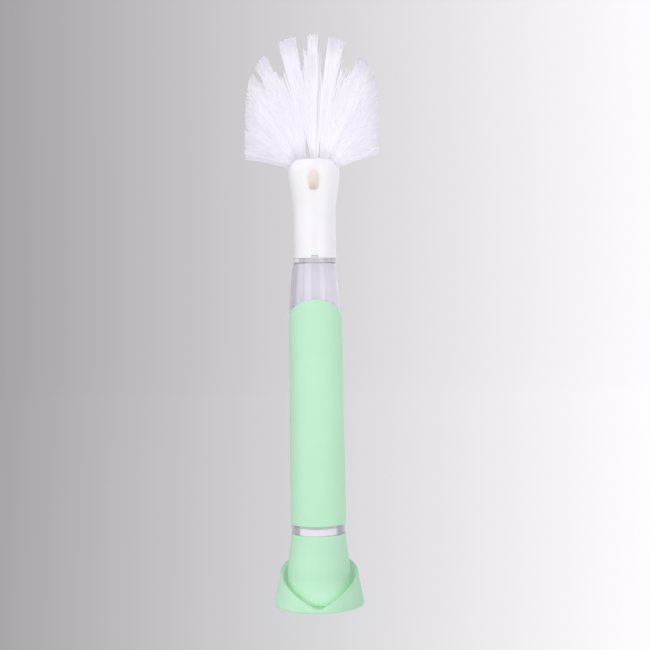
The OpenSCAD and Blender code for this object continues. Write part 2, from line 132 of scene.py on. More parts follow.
def fillet(before, corner, after, radius):
    """Points that round a corner of an outline with about that radius."""
    a, b = Vector(before) - Vector(corner), Vector(after) - Vector(corner)
    if min(a.length, b.length) < 1e-6:
        return [tuple(corner)] * (FILLET_STEPS + 1)
    half = a.angle(b) / 2
    reach = min(radius / math.tan(half), FILLET_SHARE * a.length, FILLET_SHARE * b.length)
    start = Vector(corner) + reach * a.normalized()
    end = Vector(corner) + reach * b.normalized()
    points = []
    for i in range(FILLET_STEPS + 1):
        t = i / FILLET_STEPS
        point = (1 - t) ** 2 * start + 2 * t * (1 - t) * Vector(corner) + t * t * end
        points.append(tuple(point))
    return points


def rounded(corners):
    """A closed outline from corners (r, z) or (r, z, radius of the rounding)."""
    points = []
    for i, corner in enumerate(corners):
        if len(corner) == 2:
            points.append(tuple(corner))
        else:
            before, after = corners[i - 1][:2], corners[(i + 1) % len(corners)][:2]
            points.extend(fillet(before, corner[:2], after, corner[2]))
    return points


def s_curve(low, high, steps):
    """From one radius to another, upright at both ends, without the end points."""
    points = []
    for i in range(1, steps):
        t = i / steps
        ease = (1 - math.cos(math.pi * t)) / 2
        points.append((low[0] + (high[0] - low[0]) * ease, low[1] + (high[1] - low[1]) * t))
    return points


def arc(centre, rx, ry, start, end, steps=ARC_STEPS):
    """Part of an ellipse, with both end points. Angle 0 is outwards, and 90 is up."""
    points = []
    for i in range(steps + 1):
        a = math.radians(start + (end - start) * i / steps)
        points.append((centre[0] + rx * math.cos(a), centre[1] + ry * math.sin(a)))
    return points


def groove(r, z):
    """An O-ring's groove in an outside of radius r, from its lower edge up."""
    low, high, bottom = z - GROOVE_H / 2, z + GROOVE_H / 2, r - GROOVE_DEPTH
    return [(r, low), (bottom, low), (bottom, high), (r, high)]


# Meshes

def finish_mesh(name, bm):
    """Makes an object of the bmesh, with smooth faces and creases only at sharp angles."""
    bmesh.ops.remove_doubles(bm, verts=bm.verts, dist=1e-7)
    bmesh.ops.recalc_face_normals(bm, faces=bm.faces)
    for face in bm.faces:
        face.smooth = True
    for edge in bm.edges:
        edge.smooth = edge.calc_face_angle(0) < math.radians(SHARP_ANGLE)
    mesh = bpy.data.meshes.new(name)
    bm.to_mesh(mesh)
    bm.free()
    piece = bpy.data.objects.new(name, mesh)
    bpy.context.scene.collection.objects.link(piece)
    return piece


def swept(name, outline_at, turns=TURNS):
    """A closed body round +Z. outline_at(angle from the front) gives its closed outline."""
    bm = bmesh.new()
    rings = []
    for i in range(turns):
        angle = 2 * math.pi * i / turns
        ring = []
        for r, z in outline_at(angle):
            place = Vector((r * math.sin(angle), -r * math.cos(angle), z)) * MM
            ring.append(bm.verts.new(place))
        rings.append(ring)
    count = len(rings[0])
    for i in range(turns):
        here, there = rings[i], rings[(i + 1) % turns]
        for k in range(count):
            j = (k + 1) % count
            # No face where the outline runs along the axis
            if max(here[k].co.xy.length, here[j].co.xy.length) > 1e-9:
                bm.faces.new((here[k], here[j], there[j], there[k]))
    return finish_mesh(name, bm)


def box_mesh(name, low, high):
    """A box between two corners."""
    bm = bmesh.new()
    bmesh.ops.create_cube(bm, size=1)
    for v in bm.verts:
        v.co = Vector([(low[i] + (high[i] - low[i]) * (v.co[i] + 0.5)) * MM for i in range(3)])
    return finish_mesh(name, bm)


def cut(piece, cutter, operation="DIFFERENCE"):
    """Takes cutter away from piece or adds it, with clean normals and creases again."""
    step = piece.modifiers.new("cut", "BOOLEAN")
    step.operation = operation
    step.solver = "EXACT"
    step.object = cutter
    evaluated = piece.evaluated_get(bpy.context.evaluated_depsgraph_get())
    bm = bmesh.new()
    bm.from_mesh(evaluated.to_mesh())
    name = piece.name
    for used in (piece, cutter):
        bpy.data.objects.remove(used)
    return finish_mesh(name, bm)


def mark(piece, attribute, value_at, on="POINT"):
    """Gives each vertex, or each face where on is FACE, a value that its material reads.

    value_at takes the place of the vertex or of the middle of the face.
    """
    if on == "FACE":
        places = [face.center for face in piece.data.polygons]
    else:
        places = [vertex.co for vertex in piece.data.vertices]
    values = [value_at(place / MM) for place in places]
    piece.data.attributes.new(attribute, "FLOAT", on).data.foreach_set("value", values)


# Materials

# The colour sockets of a Mix node, which share their names with its other sockets
MIX_FIRST, MIX_SECOND, MIX_RESULT = 6, 7, 2


class Paint:
    """A node material that is built up from its shader."""

    def __init__(self, name, **sockets):
        self.material = bpy.data.materials.new(name)
        self.material.use_nodes = True
        self.tree = self.material.node_tree
        self.shader = self.tree.nodes["Principled BSDF"]
        for socket, value in sockets.items():
            self.shader.inputs[socket.replace("_", " ")].default_value = value
        self.normal = None

    def node(self, kind, **settings):
        """Adds a node. Settings that start with in_ are values of its sockets."""
        made = self.tree.nodes.new(kind)
        for key, value in settings.items():
            if key.startswith("in_"):
                made.inputs[key[3:].replace("_", " ")].default_value = value
            else:
                setattr(made, key, value)
        return made

    def link(self, out, into):
        self.tree.links.new(out, into)

    def noise(self, scale, detail=3.0, stretch=(1, 1, 1)):
        """A noise in the piece's own space. scale is in cells per metre."""
        place = self.node("ShaderNodeTexCoord")
        mapping = self.node("ShaderNodeMapping")
        mapping.inputs["Scale"].default_value = stretch
        noise = self.node("ShaderNodeTexNoise", in_Scale=scale, in_Detail=detail)
        self.link(place.outputs["Object"], mapping.inputs["Vector"])
        self.link(mapping.outputs["Vector"], noise.inputs["Vector"])
        return noise.outputs["Fac"]

    def ramp(self, factor, low, high, start=0.0, end=1.0):
        """A colour that goes from low to high as factor goes from start to end."""
        ramp = self.node("ShaderNodeValToRGB")
        ramp.color_ramp.elements[0].position = start
        ramp.color_ramp.elements[1].position = end
        ramp.color_ramp.elements[0].color = (*low, 1)
        ramp.color_ramp.elements[1].color = (*high, 1)
        self.link(factor, ramp.inputs["Fac"])
        return ramp.outputs["Color"]

    def colour(self, factor, low, high, start=0.3, end=0.7):
        self.link(self.ramp(factor, low, high, start, end), self.shader.inputs["Base Color"])

    def painted_shade(self, attribute, shade_colour):
        """Paints shade: turns the base colour towards the shade colour where the mesh's attribute
        is high.
        """
        source = self.shader.inputs["Base Color"].links[0].from_socket
        where = self.node("ShaderNodeAttribute", attribute_name=attribute)
        mix = self.node("ShaderNodeMix", data_type="RGBA")
        self.link(where.outputs["Fac"], mix.inputs["Factor"])
        self.link(source, mix.inputs[MIX_FIRST])
        mix.inputs[MIX_SECOND].default_value = (*shade_colour, 1)
        self.link(mix.outputs[MIX_RESULT], self.shader.inputs["Base Color"])

    def lit(self, attribute, colour):
        """Paints a glow of that colour, by emission, where the mesh's attribute is high: painted
        light that stands for light in the piece.
        """
        where = self.node("ShaderNodeAttribute", attribute_name=attribute)
        light = self.ramp(where.outputs["Fac"], (0, 0, 0), colour)
        self.link(light, self.shader.inputs["Emission Color"])
        self.shader.inputs["Emission Strength"].default_value = 1.0

    def rough(self, factor, low, high):
        mapped = self.node("ShaderNodeMapRange", in_To_Min=low, in_To_Max=high)
        self.link(factor, mapped.inputs["Value"])
        self.link(mapped.outputs["Result"], self.shader.inputs["Roughness"])

    def bump(self, factor, depth, strength):
        """Adds relief. Later calls lie on top of earlier ones."""
        bump = self.node("ShaderNodeBump", in_Strength=strength, in_Distance=depth)
        self.link(factor, bump.inputs["Height"])
        if self.normal is not None:
            self.link(self.normal, bump.inputs["Normal"])
        self.normal = bump.outputs["Normal"]
        self.link(self.normal, self.shader.inputs["Normal"])


def mint_plastic():
    paint = Paint("mint_plastic", Specular_IOR_Level=0.35)
    paint.colour(paint.noise(90), (0.52, 0.855, 0.6), (0.54, 0.875, 0.62))
    # Painted light: a glow, by emission, lifts the shade inside the stand and on the cap's foot, as
    # light through the stand's thin wall would
    paint.lit("painted_glow", (0.34, 0.3, 0.34))
    paint.rough(paint.noise(420), 0.46, 0.58)
    paint.bump(paint.noise(2600, 4), 0.00004, 0.35)
    return paint.material


def mint_silicone():
    paint = Paint(
        "mint_silicone", Specular_IOR_Level=0.28, Sheen_Weight=0.12, Sheen_Roughness=0.5)
    paint.colour(paint.noise(60), (0.535, 0.87, 0.61), (0.555, 0.89, 0.63))
    paint.rough(paint.noise(500), 0.6, 0.72)
    paint.bump(paint.noise(35, 2), 0.0001, 0.25)
    paint.bump(paint.noise(3800, 3), 0.00003, 0.4)
    return paint.material


def white_plastic():
    paint = Paint(
        "white_plastic", Specular_IOR_Level=0.45, Subsurface_Weight=0.15, Subsurface_Scale=0.002)
    paint.colour(paint.noise(70), (0.905, 0.9, 0.925), (0.925, 0.92, 0.945))
    # Painted shade and light: the outlet's bore is painted a warm beige shade, and a glow, by
    # emission, deeper in it stands for light through the white wall
    paint.painted_shade("bore", (0.93, 0.83, 0.76))
    paint.lit("deep", (0.22, 0.23, 0.2))
    paint.rough(paint.noise(300), 0.3, 0.4)
    paint.bump(paint.noise(1900, 3), 0.00002, 0.3)
    return paint.material


def clear_plastic():
    paint = Paint("clear_plastic", Transmission_Weight=0.74, IOR=1.49, Specular_IOR_Level=0.25)
    paint.colour(paint.noise(40), (0.87, 0.855, 0.905), (0.89, 0.875, 0.925))
    paint.rough(paint.noise(160), 0.01, 0.035)
    paint.bump(paint.noise(45, 2, (1, 1, 0.25)), 0.00008, 0.25)
    return paint.material


def matt_plastic():
    paint = Paint("matt_clear_plastic", Specular_IOR_Level=0.4)
    paint.colour(paint.noise(220), (0.94, 0.95, 0.99), (0.97, 0.98, 1.0))
    # Painted light and shade: a glow, by emission, paints a bright band in the bead's front, and
    # painted shade darkens a patch at each side, the rest of the matt bore and the lug
    paint.painted_shade("dim", (0.36, 0.355, 0.43))
    paint.lit("painted_glow", (0.33, 0.325, 0.34))
    paint.rough(paint.noise(700), 0.5, 0.65)
    paint.bump(paint.noise(3000, 3), 0.00003, 0.4)
    return paint.material


def filament():
    paint = Paint("filament", Specular_IOR_Level=0.5)
    # Painted shade: the shade attribute turns a filament from white towards a lavender shade
    shade = paint.node("ShaderNodeAttribute", attribute_name="shade")
    paint.colour(shade.outputs["Fac"], (0.78, 0.765, 0.86), (0.97, 0.955, 0.99), 0.0, 1.0)
    # Painted light: a glow, by emission, brightest at the roots, stands in for light that clear
    # nylon carries along to where it stands too close to be lit
    paint.lit("glow", (0.8, 0.79, 0.8))
    paint.rough(paint.noise(900), 0.3, 0.5)
    return paint.material


def grey_rubber():
    paint = Paint("grey_rubber", Specular_IOR_Level=0.3)
    paint.colour(paint.noise(220), (0.16, 0.16, 0.175), (0.2, 0.2, 0.215))
    paint.rough(paint.noise(600), 0.6, 0.8)
    paint.bump(paint.noise(2400, 4), 0.00005, 0.5)
    return paint.material


def valve_silicone():
    paint = Paint("valve_silicone", Transmission_Weight=0.45, IOR=1.41, Specular_IOR_Level=0.4)
    paint.colour(paint.noise(160), (0.86, 0.86, 0.88), (0.92, 0.92, 0.94))
    paint.rough(paint.noise(500), 0.4, 0.55)
    return paint.material


def steel():
    paint = Paint("steel", Metallic=1.0)
    paint.colour(paint.noise(500, 2), (0.52, 0.52, 0.54), (0.66, 0.66, 0.68))
    paint.rough(paint.noise(900, 3, (1, 1, 6)), 0.2, 0.38)
    return paint.material


# Pieces

def top_of(node):
    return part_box(node)[1].z / MM


def foot_of(node):
    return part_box(node)[0].z / MM


SLEEVE_EDGE = foot_of("grip_sleeve") + SLEEVE_SIDE_H
SLEEVE_SLOPE = math.tan(math.radians(SLEEVE_SLANT))
CROWN_TOP = top_of("head_shell") + CROWN_SLICE_T
CROWN_SHOULDER = CROWN_TOP - SHOULDER_H


def stand():
    """The cup, with a rim that rises from the front to the back."""
    foot = foot_of("stand_cup")
    floor_top = foot_of("end_cap")
    lean = math.tan(math.radians(STAND_LEAN))

    def wall_r(z):
        return STAND_R - (z - foot) * lean

    front_r = wall_r(STAND_FRONT_H)
    across = front_r + wall_r(STAND_BACK_H)
    rise = STAND_BACK_H - STAND_FRONT_H

    def rim_height(angle, inset):
        """Where the cone that cuts the rim crosses the wall, inset from the wall's outside."""
        low, high = STAND_FRONT_H, STAND_BACK_H + 1
        for _ in range(HALVINGS):
            z = (low + high) / 2
            r = wall_r(z) - inset
            reach = math.hypot(r * math.sin(angle), front_r - r * math.cos(angle))
            if reach > RIM_DIP_R + (across - RIM_DIP_R) * (z - STAND_FRONT_H) / rise:
                low = z
            else:
                high = z
        return low

    def outline(angle):
        outer, inner = rim_height(angle, 0), rim_height(angle, STAND_WALL)
        groove_in, groove_out = PAD_R - PAD_W / 2, PAD_R + PAD_W / 2
        return rounded([
            (0, foot),
            (groove_in, foot), (groove_in, PAD_T), (groove_out, PAD_T), (groove_out, foot),
            (STAND_R, foot, STAND_EDGE_R),
            (wall_r(outer), outer, RIM_EDGE_R),
            (wall_r(inner) - STAND_WALL, inner, RIM_INNER_EDGE_R),
            (wall_r(floor_top) - STAND_WALL, floor_top, STAND_FLOOR_EDGE_R),
            (0, floor_top),
        ])

    # Painted light: a glow on the inside of the wall, above the floor, lifts the shade in the cup
    def lit_at(place):
        off_wall = abs(place.xy.length - (wall_r(place.z) - STAND_WALL))
        return STAND_LIT if off_wall < ON and place.z > floor_top + PAST else 0

    piece = swept("stand_body", outline, STAND_TURNS)
    mark(piece, "painted_glow", lit_at)
    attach(piece, "stand")
    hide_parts("stand_cup")
    return piece


def cap():
    """The flared cap, with the ledge inside that the pump's barrel lies against."""
    low, high = foot_of("end_cap"), top_of("end_cap")
    belly, top = (CAP_BELLY_R, low + CAP_BELLY_H), (CAP_TOP_R, high)
    ledge_top = foot_of("pump_barrel") + LEDGE_UP
    ledge_low = ledge_top - LEDGE_T
    outline = rounded([
        (CAP_BORE_R, low, CAP_MOUTH_EDGE_R),
        *arc((CAP_FOOT_R, low + CAP_FOOT_H), CAP_BELLY_R - CAP_FOOT_R, CAP_FOOT_H, -90, 0),
        belly,
        *s_curve(belly, top, CAP_CURVE_STEPS),
        (*top, CAP_TOP_EDGE_R),
        (CAP_BORE_R, high, CAP_TOP_INNER_EDGE_R),
        (CAP_BORE_R, ledge_top),
        (LEDGE_R, ledge_top, LEDGE_EDGE_R),
        (LEDGE_R, ledge_low, LEDGE_EDGE_R),
        (CAP_BORE_R, ledge_low),
    ])

    # Painted light: a glow on the cap's outside near its foot, fading upwards, lifts the shade that
    # the stand casts there
    def lit_at(place):
        up = place.z - low
        if place.xy.length < CAP_BORE_R + FOOT_LIT_INSET or up > FOOT_LIT_H:
            return 0
        return FOOT_LIT * (1 - up / FOOT_LIT_H) ** FOOT_LIT_FADE

    piece = swept("cap_shell", lambda angle: outline)
    mark(piece, "painted_glow", lit_at)
    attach(piece, "cap")
    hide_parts("end_cap")
    return piece


def spring():
    """The coil under the pump."""
    low, high = foot_of("return_spring"), top_of("return_spring")
    rise = high - low - 2 * SPRING_WIRE_R
    steps = SPRING_TURNS * SPRING_STEPS
    bm = bmesh.new()
    rings = []
    for i in range(steps + 1):
        turn = 2 * math.pi * i / SPRING_STEPS
        middle = low + SPRING_WIRE_R + rise * i / steps
        ring = []
        for k in range(SPRING_SIDES):
            a = 2 * math.pi * k / SPRING_SIDES
            r, z = SPRING_R + SPRING_WIRE_R * math.cos(a), middle + SPRING_WIRE_R * math.sin(a)
            ring.append(bm.verts.new(Vector((r * math.cos(turn), r * math.sin(turn), z)) * MM))
        rings.append(ring)
    for here, there in zip(rings, rings[1:]):
        for k in range(SPRING_SIDES):
            j = (k + 1) % SPRING_SIDES
            bm.faces.new((here[k], here[j], there[j], there[k]))
    bm.faces.new(rings[0])
    bm.faces.new(rings[-1])
    piece = finish_mesh("spring_coil", bm)
    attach(piece, "cap")
    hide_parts("return_spring")
    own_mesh(piece)
    return piece


def sleeve():
    """The grip, whose slanted top edge is higher in front."""
    low = foot_of("grip_sleeve")

    def outline(angle):
        slope = math.cos(angle) * SLEEVE_SLOPE
        return rounded([
            (SLEEVE_BORE_R, low),
            (SLEEVE_R, low, SLEEVE_FOOT_EDGE_R),
            (SLEEVE_TOP_R, SLEEVE_EDGE + SLEEVE_TOP_R * slope, SLEEVE_TOP_EDGE_R),
            (SLEEVE_BORE_R, SLEEVE_EDGE + SLEEVE_BORE_R * slope, SLEEVE_TOP_INNER_EDGE_R),
        ])

    piece = swept("sleeve_skin", outline, SLEEVE_TURNS)
    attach(piece, "handle")
    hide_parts("grip_sleeve")
    return piece


def tube():
    """The clear tube: neck, bead, the seat of the sleeve, shoulder, band, spigot and key lug."""
    low, spigot_top = foot_of("reservoir_tube"), top_of("reservoir_tube")
    bead_low = low + NECK_H
    bead_top = bead_low + BEAD_H
    matt_top, lit_top = bead_top - MATT_DOWN, bead_low + BEAD_LIT_H
    band_top = spigot_top - SPIGOT_H
    band_low = band_top - BAND_H
    shoulder_low = band_low - TUBE_SHOULDER_H

    def shoulder_r(z, low_r, high_r):
        t = max(0, (z - shoulder_low) / TUBE_SHOULDER_H)
        return low_r + (high_r - low_r) * t * t

    def outline(angle):
        slope = math.cos(angle) * SLEEVE_SLOPE
        # The outside starts at the sleeve's slanted edge, whose height depends on the radius there
        start = SLEEVE_EDGE + TUBE_R * slope
        for _ in range(4):
            start = SLEEVE_EDGE + shoulder_r(start, TUBE_R, TUBE_TOP_R) * slope
        outside, inside = [], []
        for i in range(CURVE_STEPS + 1):
            t = i / CURVE_STEPS
            z = start + (band_low - start) * t
            outside.append((shoulder_r(z, TUBE_R, TUBE_TOP_R), z))
            z = band_low + (shoulder_low - band_low) * t
            inside.append((shoulder_r(z, TUBE_BORE_R, TUBE_TOP_BORE_R), z))
        return rounded([
            (TUBE_BORE_R, low, NECK_EDGE_R),
            (NECK_R, low, NECK_EDGE_R),
            *groove(NECK_R, low + NECK_H / 2),
            (NECK_R, bead_low),
            (BEAD_R, bead_low, BEAD_EDGE_R),
            (BEAD_R, bead_top, BEAD_EDGE_R),
            (SEAT_R, bead_top),
            (SEAT_R, SLEEVE_EDGE + SEAT_R * slope),
            *outside,
            (TUBE_TOP_R - BAND_NOTCH_DEPTH, band_low + BAND_NOTCH_H / 2),
            (TUBE_TOP_R, band_low + BAND_NOTCH_H, BAND_FOOT_EDGE_R),
            (TUBE_TOP_R, band_top, BAND_TOP_EDGE_R),
            (SPIGOT_R, band_top),
            *groove(SPIGOT_R, band_top + SPIGOT_H / 2),
            (SPIGOT_R, spigot_top, SPIGOT_EDGE_R),
            (SPIGOT_BORE_R, spigot_top, SPIGOT_BORE_EDGE_R),
            (SPIGOT_BORE_R, band_low),
            *inside,
            (TUBE_BORE_R, matt_top),
            (TUBE_BORE_R, lit_top),
        ])

    def in_matt_bore(place):
        return place.xy.length < TUBE_BORE_R + PAST and place.z < matt_top

    def on_lug(place):
        return place.z > band_top + ON and place.y < -SPIGOT_R - LUG_OUT

    def beyond(place, edge):
        """0 to 1 across an edge between two zones of the bead, at that turn from the front."""
        turn = abs(math.degrees(math.atan2(place.x, -place.y)))
        return max(0, min(1, (turn - edge) / BEAD_BLEND + 0.5))

    # Painted light: a glow in the front of the matt bore, below lit_top, makes the bead's bright
    # band
    def lit_at(place):
        if in_matt_bore(place) and place.z < lit_top:
            return 1 - beyond(place, BEAD_LIT_TURN)
        return 0

    # Painted shade on the lug and over the matt bore, darker at each side of the bead
    def dim_at(place):
        if on_lug(place):
            return LUG_DIM
        if in_matt_bore(place):
            side = beyond(place, BEAD_LIT_TURN) * (1 - beyond(place, BEAD_DIM_TURN))
            return MATT_DIM + BEAD_SIDE_DIM * side
        return 0

    piece = swept("tube_clear", outline)
    lug = box_mesh("lug", (-LUG_W / 2, -TUBE_TOP_R + LUG_FRONT_INSET, band_top - LUG_SUNK),
                   (LUG_W / 2, -SPIGOT_R + LUG_BACK_INSET, band_top + LUG_H))
    piece = cut(piece, lug, "UNION")
    mark(piece, "painted_glow", lit_at, "FACE")
    mark(piece, "dim", dim_at, "FACE")
    # The bore is matt from the mould in the neck and the bead, and so is the lug
    for face in piece.data.polygons:
        place = face.center / MM
        face.material_index = int(in_matt_bore(place) or on_lug(place))
    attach(piece, "handle")
    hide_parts("reservoir_tube")
    return piece


def outlet_cutter(bend_z):
    """What the outlet's bore takes away. It leans to the front from that height on the axis."""
    far = 3 * CROWN_R

    def outline(angle):
        """Flatter at the front, so that the lower lip is a wide arc."""
        square = LIP_SQUARE if math.cos(angle) > 0 else BORE_SQUARE
        size = abs(math.sin(angle)) ** square + abs(math.cos(angle)) ** square
        r = OUTLET_R / size ** (1 / square)
        return [(0, 0), (r, 0), (r, far), (0, far)]

    cutter = swept("outlet_cutter", outline, OUTLET_TURNS)
    tilt = Matrix.Rotation(math.radians(OUTLET_LEAN), 4, "X")
    cutter.data.transform(Matrix.Translation((0, 0, bend_z * MM)) @ tilt)
    return cutter


def head():
    """Neck and crown in one body, with socket, valve seat, chamber, outlet and key notch."""
    low = foot_of("head_shell")
    ring_z = low + VALVE_RING_UP
    chamber_z = ring_z + VALVE_SEAT_DEPTH
    lean = math.radians(OUTLET_LEAN)
    bend_z = low + OUTLET_H - CROWN_R / math.tan(lean)
    bend, axis = Vector((0, 0, bend_z)), Vector((0, -math.sin(lean), math.cos(lean)))
    dome_w = CROWN_R - CROWN_FLAT_R
    outline_rz = rounded([
        (SOCKET_R, low, SOCKET_EDGE_R),
        (HEAD_R, low, HEAD_EDGE_R),
        *s_curve((HEAD_R, low + SWELL_H), (CROWN_R, CROWN_SHOULDER), HEAD_CURVE_STEPS),
        *arc((CROWN_FLAT_R, CROWN_SHOULDER), dome_w, SHOULDER_H, 0, 90, CURVE_STEPS),
        (0, CROWN_TOP),
        (0, bend_z + CHAMBER_R),
        *arc((0, bend_z), CHAMBER_R, CHAMBER_R, 90, 0)[1:],
        (CHAMBER_R, chamber_z),
        (VALVE_SEAT_R, chamber_z),
        (VALVE_SEAT_R, ring_z),
        (SOCKET_R, ring_z),
    ])

    def off_bore(place):
        """How far a place is from the wall of the outlet's bore, and how far along the bore."""
        along = (place - bend).dot(axis)
        return (place - bend - along * axis).length - OUTLET_R, along

    def outline(angle):
        """The upper edge of the outlet is rounded off, and its lower lip is sharp."""
        points = []
        for r, z in outline_rz:
            if r > SOCKET_R and math.cos(angle) > 0:
                away, along = off_bore(Vector((r * math.sin(angle), -r * math.cos(angle), z)))
                upper = max(0, min(1, (z - low - OUTLET_H + LIP_FADE_DOWN) / LIP_FADE_H))
                if along > 0 and away < LIP_REACH:
                    r -= LIP_DEPTH * upper * (1 - max(0, away) / LIP_REACH) ** 2
            points.append((r, z))
        return points

    def at_mouth(place):
        return place.xy.length > CHAMBER_R + 1

    # Painted shade: a warm shade in the outlet's bore, fading out round its mouth
    def bore_shade_at(place):
        away, along = off_bore(place)
        if along <= 0 or away >= (LIP_REACH if at_mouth(place) else PAST):
            return 0
        return MOUTH_SHADE * (1 - max(0, away) / LIP_REACH) ** 2 if at_mouth(place) else 1

    # Painted light: a glow in the outlet's bore, faint at the mouth
    def lit_at(place):
        away, along = off_bore(place)
        if along <= 0 or away >= PAST:
            return 0
        return MOUTH_LIT if at_mouth(place) else 1

    piece = cut(swept("head_body", outline, HEAD_TURNS), outlet_cutter(bend_z))
    notch_w = LUG_W / 2 + LUG_GAP
    notch = box_mesh("notch_cutter", (-notch_w, -2 * HEAD_R, low - 1),
                     (notch_w, -1, low + LUG_H + LUG_GAP))
    piece = cut(piece, notch)
    mark(piece, "bore", bore_shade_at)
    mark(piece, "deep", lit_at)
    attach(piece, "head")
    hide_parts("head_shell", "bristle_crown")
    return piece


# Bristles

def all_around(tufts, first):
    return [first + 360 * i / tufts for i in range(tufts)]


SIDE_TURN = 27
AT_SIDES = [side + SIDE_TURN * i for side in (0, 180) for i in (-1, 0, 1)]
# Rows of tufts: distance of the roots from the crown's middle, where the tips start and end along
# the trimmed outline, half the width across that at the tips, locks in a tuft, turns of the tufts,
# and how far the tips stand to the right. Turn 0 is +X, and 270 is the front.
TUFT_ROWS = [
    (0, -1.1, 3.1, 2, 9, [0], 0),
    (5, 7.6, 15.6, 3.4, 9, [180], 0),
    (4.5, 9.8, 16.4, 3.4, 9, [0], 0),
    (5, 10, 17, 3, 9, [90], 0.5),
    (5, 13, 19, 2.3, 9, [270], 0.5),
    (7.1, 14, 20.5, 3.4, 9, all_around(4, 45), 0),
    (7.3, 26, 34, 4, 9, [0, 180], 0),
    (7.3, 23.5, 35, 3.4, 9, [90], -0.3),
    (7.3, 27, 37, 3.4, 9, [270], -0.3),
    (9.3, 36.5, 50, 4.4, 9, [0, 180], 0),
    (9.3, 36.5, 50, 5.2, 11, [90, 270], -2.9),
    (9.3, 39.5, 50, 8, 15, [50, 130, 230, 310], 0),
    (11.3, 50, 64, 6.4, 12, AT_SIDES[:3], 0),
    (11.3, 50, 64, 6.4, 12, AT_SIDES[3:], -0.5),
    (13.3, 62, 75.5, 6.6, 13, AT_SIDES[:3], 0),
    (13.3, 63, 77.5, 6.6, 13, AT_SIDES[3:], -1.2),
]
OUTLINE_END = 77.5
TUFT_ROOT_R, TUFT_BEND, TUFT_LEAN = 1.1, 13, 0.4
ROOT_DEPTH = 1.0
GOLDEN_ANGLE = 137.5
LOCK_FILAMENTS, LOCK_ROOT_SPREAD, LOCK_TIP_SPREAD = 11, 0.2, 0.3
LOCK_CUT, FILAMENT_CUT = 0.5, 1.2
BEND_SPREAD, SWAY = 0.1, 0.2
FILAMENT_R, FILAMENT_STEPS, FILAMENT_SIDES = 0.15, 5, 3
# Shares of a filament's painted shade, and the painted shade taken off it in the rows that end past
# SIDE_Q
FRONT_SHADE, LOCK_SHADE, OWN_SHADE = 0.45, 0.35, 0.2
SIDE_Q, SIDE_DIM = 50, 0.12
# Painted glow of a filament at its root and at its tip
ROOT_GLOW, TIP_GLOW = 0.19, 0.15
# Filaments that stand alone beside their tuft: x at the root, then x and the distance below the
# top at the tip
STRAYS = [
    (-4.2, -21.6, 11.2), (-3.9, -20.9, 12.4), (1.2, 3.7, 5.9), (1.4, 4.3, 9.1),
    (5.5, 14.6, 13.2), (8.8, 27.6, 17.3), (9.4, 29.5, 22.6), (-9.3, -29.6, 20.4),
    (1.5, 4.4, 18.6), (1.7, 4.7, 20.8), (1.9, 4.9, 22.9),
]
STRAY_ROOT_Y, STRAY_TIP_Y, STRAY_BEND = -1, -2, 0.4


def crown_point(s):
    """On the crown's outline, s from its middle."""
    a = CROWN_R - CROWN_FLAT_R
    if s <= CROWN_FLAT_R:
        return Vector((s, CROWN_TOP))
    t = (s - CROWN_FLAT_R) / ((a + SHOULDER_H) / 2)
    return Vector((CROWN_FLAT_R + a * math.sin(t), CROWN_SHOULDER + SHOULDER_H * math.cos(t)))


def trim_point(q):
    """On the outline that the tips are trimmed to, q from its top."""
    trim_z = CROWN_TOP + FAN_H - FAN_R
    t = q / FAN_R
    if t <= math.pi / 2:
        return Vector((FAN_R * math.sin(t), trim_z + FAN_R * math.cos(t)))
    return Vector((FAN_R, trim_z - (q - FAN_R * math.pi / 2)))


def placed(p, turn, across):
    """A point of the r-z plane, turned about the axis (in radians) and moved across that."""
    c, s = math.cos(turn), math.sin(turn)
    return Vector((p.x * c - across * s, p.x * s + across * c, p.y))


class Strands:
    """The mesh of the filaments, with a shade and a glow for each vertex."""

    def __init__(self, rng):
        self.rng = rng
        self.verts, self.faces, self.shades, self.glows = [], [], [], []

    def add(self, root, tip, lift, shade):
        """Adds a filament that bends by lift in its middle."""
        along = (tip - root).normalized()
        side = along.cross(Vector((0.3, 0.2, 1))).normalized()
        up = along.cross(side)
        first = len(self.verts)
        spin = self.rng.uniform(0, 2 * math.pi)
        for i in range(FILAMENT_STEPS + 1):
            t = i / FILAMENT_STEPS
            middle = root.lerp(tip, t) + lift * (4 * t * (1 - t))
            for k in range(FILAMENT_SIDES):
                a = spin + 2 * math.pi * k / FILAMENT_SIDES
                out = FILAMENT_R * (math.cos(a) * side + math.sin(a) * up)
                self.verts.append((middle + out) * MM)
                self.shades.append(shade)
                self.glows.append(TIP_GLOW + (ROOT_GLOW - TIP_GLOW) * (1 - t) ** 2)
        for i in range(FILAMENT_STEPS):
            ring = first + FILAMENT_SIDES * i
            for k in range(FILAMENT_SIDES):
                a, b = ring + k, ring + (k + 1) % FILAMENT_SIDES
                self.faces.append((a, b, b + FILAMENT_SIDES, a + FILAMENT_SIDES))
        last = first + FILAMENT_SIDES * FILAMENT_STEPS
        self.faces.append(tuple(reversed(range(first, first + FILAMENT_SIDES))))
        self.faces.append(tuple(range(last, last + FILAMENT_SIDES)))

    def piece(self, name):
        mesh = bpy.data.meshes.new(name)
        mesh.from_pydata(self.verts, [], self.faces)
        for attribute, values in (("shade", self.shades), ("glow", self.glows)):
            mesh.attributes.new(attribute, "FLOAT", "POINT").data.foreach_set("value", values)
        mesh.polygons.foreach_set("use_smooth", [True] * len(mesh.polygons))
        made = bpy.data.objects.new(name, mesh)
        bpy.context.scene.collection.objects.link(made)
        return made


